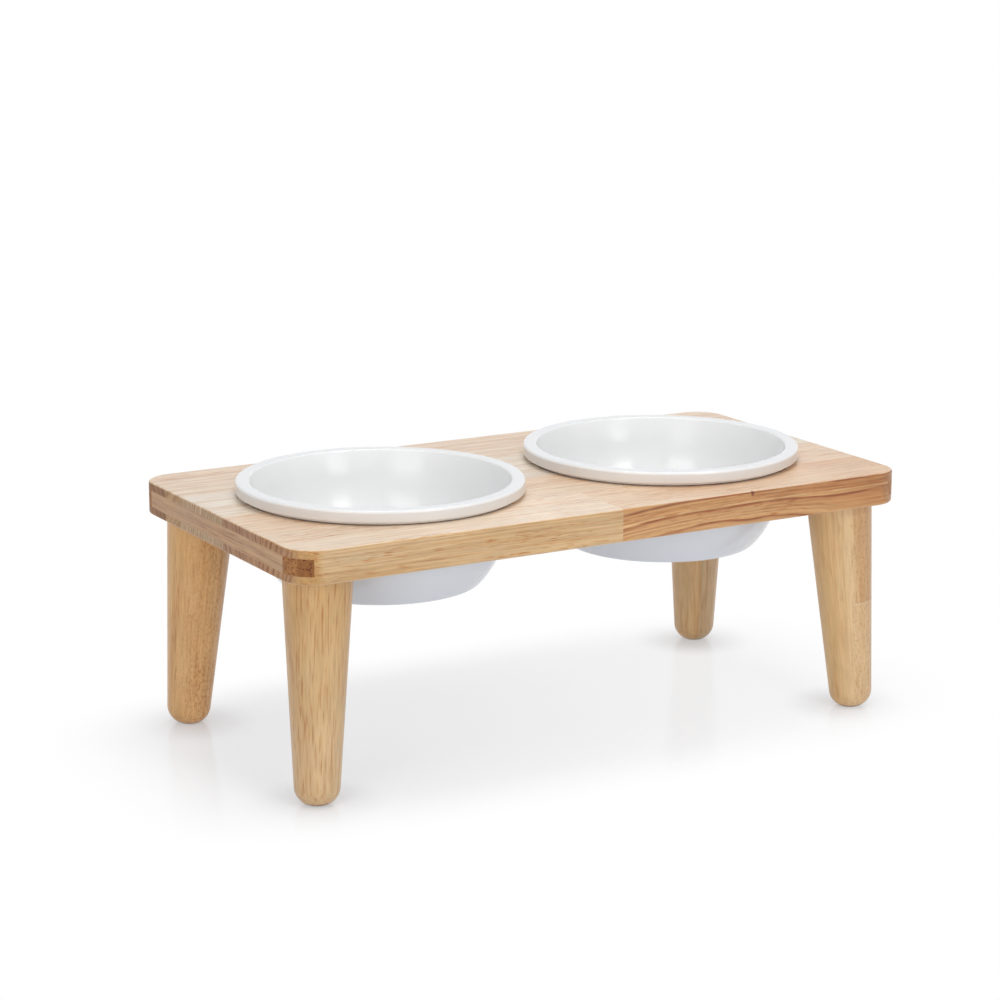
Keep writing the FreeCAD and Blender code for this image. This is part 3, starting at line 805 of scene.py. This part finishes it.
def bowlProfile(look):
    top, sheet, lean = look["height"], look["sheet"], look["lean"]
    out, rise = math.cos(math.radians(lean)), math.sin(math.radians(lean))
    lip, edge, bead, foot = (look[name] for name in ("lip", "rimRound", "bead", "foot"))
    turn, inset = look["corner"], look["cornerInset"]
    lipMiddle = (look["rim"] - edge - look["rimFlat"], top - lip)
    head = (lipMiddle[0] - (lip - sheet) * out, lipMiddle[1] + (lip - sheet) * rise)
    turnHeight = foot + math.sqrt((turn - foot) ** 2 - inset ** 2)
    wallHeight = turnHeight - turn * rise
    wallRadius = head[0] - (head[1] - wallHeight) * rise / out
    turnMiddle = (wallRadius - turn * out, turnHeight)
    footMiddle = (turnMiddle[0] + inset, foot)
    footEnd = -math.degrees(math.acos(inset / (turn - foot)))
    rimMiddle = (look["rim"] - edge, top - edge)
    beadMiddle = (look["rim"] - look["beadInset"] - bead, top - look["rimDepth"] + bead)
    skirtEnd = top - look["rimDepth"] + look["skirtGap"]
    skirtMiddle = (look["rim"] - look["skirtRound"], skirtEnd + look["skirtRound"])
    shares = (0.0, 0.2, 0.4, 0.6, 0.8, 0.93)
    points = [(footMiddle[0] * share, 0.0) for share in shares]
    points += arcRun(footMiddle, foot, -90, footEnd, steps=8)
    points += arcRun(turnMiddle, turn, footEnd, -lean, steps=24)[1:]
    points += arcRun(lipMiddle, lip - sheet, 180 - lean, 90, steps=6)
    points += arcRun(rimMiddle, edge - sheet, 90, 0, steps=4)
    points += [(look["rim"] - sheet, skirtEnd + sheet), (beadMiddle[0] - bead, skirtEnd + sheet)]
    points += arcRun(beadMiddle, bead, -180, 0, steps=12)
    points.append((beadMiddle[0] + bead, skirtEnd))
    points += arcRun(skirtMiddle, look["skirtRound"], -90, 0, steps=4)
    points += arcRun(rimMiddle, edge, 0, 90, steps=8)
    points += arcRun(lipMiddle, lip, 90, 180 - look["innerLean"], steps=10)
    points += innerRun(look, points[-1], footMiddle)
    points += [(footMiddle[0] * share, sheet) for share in reversed(shares)]
    return points


def makeCoating(label, look):
    material, pen = startMaterial(label)
    local = pen.node("ShaderNodeTexCoord", None, None, "Object")
    clouds = local.noise((28.0, 28.0, 28.0), 3.0, 4.2)
    peel = local.noise((620.0, 620.0, 620.0), 2.0, 1.1)
    specks = local.noise((2600.0, 2600.0, 2600.0), 1.0, 8.4)
    colour = clouds.step(0.25, 0.75).mix(tint(*look["white"]), tint(*look["shade"]))
    facingUp = pen.node("ShaderNodeTexCoord", None, None, "Normal").split()[2]
    # painted light on the outer faces: below the board they are toned as the shade the top casts, above it as
    # the warm bounce from the wood
    aboveBoard = local.split()[2].step(boardTop - mm, boardTop + mm)
    outsideBounceAndShade = aboveBoard.mix(tint(*look["under"]), tint(*look["skirtBounce"]))
    # painted shade: faces that look up, the rim and the floor, are toned darker and bluer than the walls, for
    # how the overhead light falls on them
    colour = facingUp.step(0.75, 0.97).mix(colour, tint(*look["level"]))
    colour = facingUp.step(0.02, 0.12, 1.0, 0.0).mix(colour, outsideBounceAndShade)  # painted light on the outer faces: a cool grey shade below the board, a warm bounce from the wood above it
    roughness = clouds * 0.06 + specks * 0.05 + (look["rough"] - 0.05)
    relief = peel * 0.7 + specks * 0.3
    bump = pen.node("ShaderNodeBump", None, {"Strength": 0.04, "Distance": 0.0003, "Height": relief})
    shader = pen.node("ShaderNodeBsdfPrincipled", None, {
        "Base Color": colour, "Roughness": roughness, "Normal": bump, "Specular IOR Level": 0.5})
    endMaterial(pen, shader)
    return material


bowlCoating = makeCoating("bowlCoating", bowlSet)
points = bowlProfile(bowlSet)
for label, placeX in bowlSet["places"].items():
    place = Matrix.Translation((placeX * mm, 0, bowlSet["seat"] * mm))
    mesh = spinPiece(label + "_spun", points, bowlSet, bowlCoating, place)
    addPiece(label + "_spun", mesh, label, "bowl_coating", label)
print("bowls spun")

# The legs: tapered turnings, in millimetres from the underside of the top.
legSet = {
    "top": (173.9078, 75.0039, 127.5),
    "splay": 5.3,
    "heading": 55.0,
    "acrossHeading": -30.4,  # level way that a mark's across runs in, in degrees from the length
    "topRadius": 19.5,
    "footRadius": 12.2,
    "tipRadius": 1.5,
    "trim": 0.5,
    "over": 5.0,
    "flatShare": 0.5,
    "sideSteps": 24,
    "stepsRound": 96,
    "finishes": {
        "front_left_leg": {
            "signs": (-1, -1), "side": ((227, 195, 148), (219, 181, 130)),
            "ringGap": 0.0050, "pith": (0.04, 0.10), "ringDepth": 0.2, "streaks": 0.75, "streakLength": 4.5,
            "streakWidth": 900.0, "pores": 0.35, "poreLength": 55.0, "poreWidth": 1200.0,
            "streakTint": (218, 174, 120), "coat": 0.5, "seed": 101.0,
            "bands": [
                # painted shade: both bands darken the upper part of the leg, most near the top, where the top
                # shades it
                {"across": (-0.03, 0.03), "along": (-0.04, 0.02), "tint": (249, 240, 222), "fade": 0.025},
                {"across": (-0.03, 0.03), "along": (-0.082, 0.02), "tint": (248, 244, 234), "fade": 0.015},
            ],
        },
        "back_left_leg": {
            # the side tones are raised partly as painted light, making up for the shade the top casts on this
            # back leg; the rest is the wood's own tone
            "signs": (-1, 1), "side": ((236, 191, 130), (226, 178, 117)),
            "ringGap": 0.0060, "pith": (0.06, 0.05), "ringDepth": 0.2, "streaks": 0.5, "pores": 0.5,
            "specks": 0.6, "speckScale": (500.0, 1000.0, 1000.0), "speckFrom": (0.42, 0.68),
            "speckSide": (-0.013, 0.008), "markTint": (216, 166, 114), "seed": 113.0,
            "bands": [
                # painted shade: the leg is darker at its upper end, just below the top
                {"across": (-0.03, 0.03), "along": (-0.035, 0.02), "tint": (249, 245, 236), "fade": 0.02},
            ],
        },
        "front_right_leg": {
            "signs": (1, -1), "side": ((231, 198, 149), (225, 188, 139)),
            "ringGap": 0.0070, "pith": (0.08, 0.02), "ringDepth": 0.15, "streaks": 0.35, "pores": 0.35,
            "specks": 0.4, "speckScale": (450.0, 950.0, 950.0), "speckFrom": (0.52, 0.70),
            "speckSide": (-0.004, 0.006), "markTint": (214, 164, 118), "seed": 127.0,
            "bands": [
                {"across": (-0.03, -0.004), "along": (-0.2, 0.02), "tint": (254, 246, 230), "edge": 0.006},
                {"across": (0.0065, 0.03), "along": (-0.0625, 0.01), "tint": (239, 226, 213), "fade": 0.0010},
                {"across": (0.0040, 0.0125), "along": (-0.0632, -0.0622), "tint": (238, 216, 186),
                 "edge": 0.002, "fade": 0.0004, "strength": 0.35, "how": "MIX"},
            ],
        },
        "back_right_leg": {
            # the side tones are raised partly as painted light, making up for the shade the top casts on this
            # back leg; the rest is the wood's own tone
            "signs": (1, 1), "side": ((246, 205, 149), (236, 192, 136)),
            "ringGap": 0.0060, "pith": (0.02, 0.09), "ringDepth": 0.2, "streaks": 0.5, "pores": 0.4,
            "seed": 139.0,
            "bands": [
                {"across": (0.0026, 0.03), "along": (-0.2, 0.01), "tint": (235, 240, 251), "edge": 0.0012},
                {"across": (0.0012, 0.0026), "along": (-0.2, 0.01), "tint": (243, 232, 220), "edge": 0.0006},
            ],
        },
    },
}


def legProfile(look):
    reach = look["top"][2] / math.cos(math.radians(look["splay"])) + look["trim"]
    slope = (look["topRadius"] - look["footRadius"]) / reach
    dome = look["footRadius"] - look["tipRadius"]
    tilt = math.degrees(math.atan(slope))
    domeHeight = dome - reach
    domeRadius = look["footRadius"] + slope * dome - dome / math.cos(math.radians(tilt))
    topRadius = look["topRadius"] + slope * look["over"]
    points = [(0.0, -reach), (domeRadius * look["flatShare"], -reach)]
    points += arcRun((domeRadius, domeHeight), dome, -90, -tilt, steps=22)
    low, steps = points[-1], look["sideSteps"]
    wide, tall = topRadius - low[0], look["over"] - low[1]
    points += [(low[0] + wide * n / steps, low[1] + tall * n / steps) for n in range(1, steps + 1)]
    points.append((0.0, look["over"]))
    return points


def legMatrix(look, signs):
    signX, signY = signs
    heading = math.radians(look["heading"])
    axis = Vector((signY * math.sin(heading), -signX * math.cos(heading), 0))
    splay = Matrix.Rotation(math.radians(look["splay"]), 4, axis)
    top = Vector((signX * look["top"][0], signY * look["top"][1], look["top"][2])) * mm
    return Matrix.Translation(top) @ splay


points = legProfile(legSet)
level = Matrix.Rotation(math.radians(legSet["acrossHeading"]), 3, "Z") @ Vector((1, 0, 0))
for label, look in legSet["finishes"].items():
    place = legMatrix(legSet, look["signs"])
    grain = place.to_3x3() @ Vector((0, 0, 1))
    side = (level - level.dot(grain) * grain).normalized()
    turn = Matrix((grain, side, grain.cross(side))).transposed().to_euler()
    finish = {"middle": tuple(place.translation), "turn": tuple(turn), **without(look, "signs")}
    material = makeWood(label + "Wood", **finish)
    cuts = [(legSet["top"][2] * mm, 1), (0.0, -1)]  # level with the top's underside and with the floor
    mesh = spinPiece(label + "_turned", points, legSet, material, place, cuts)
    addPiece(label + "_turned", mesh, "stand", "leg_wood", label)
print("legs turned")

# The bolts and inserts, hidden in the wood.
steelSet = {
    "hanger_bolts": {"bright": (200, 200, 198), "dull": (172, 172, 170)},
    "threaded_inserts": {"bright": (206, 196, 160), "dull": (178, 168, 134)},
}


def makeSteel(label, look):
    material, pen = startMaterial(label)
    local = pen.node("ShaderNodeTexCoord", None, None, "Object")
    scuffs = local.noise((300.0, 300.0, 1500.0), 3.0, 6.0)
    spangle = local.noise((900.0, 900.0, 900.0), 2.0, 2.0)
    colour = spangle.step(0.3, 0.7).mix(tint(*look["bright"]), tint(*look["dull"]))
    roughness = scuffs * 0.2 + 0.22
    bump = pen.node("ShaderNodeBump", None, {"Strength": 0.15, "Distance": 0.0001, "Height": scuffs})
    shader = pen.node("ShaderNodeBsdfPrincipled", None, {
        "Base Color": colour, "Roughness": roughness, "Normal": bump, "Metallic": 1.0})
    endMaterial(pen, shader)
    return material


for label, look in steelSet.items():
    dress(label, makeSteel(label + "Steel", look))
print("hardware dressed")
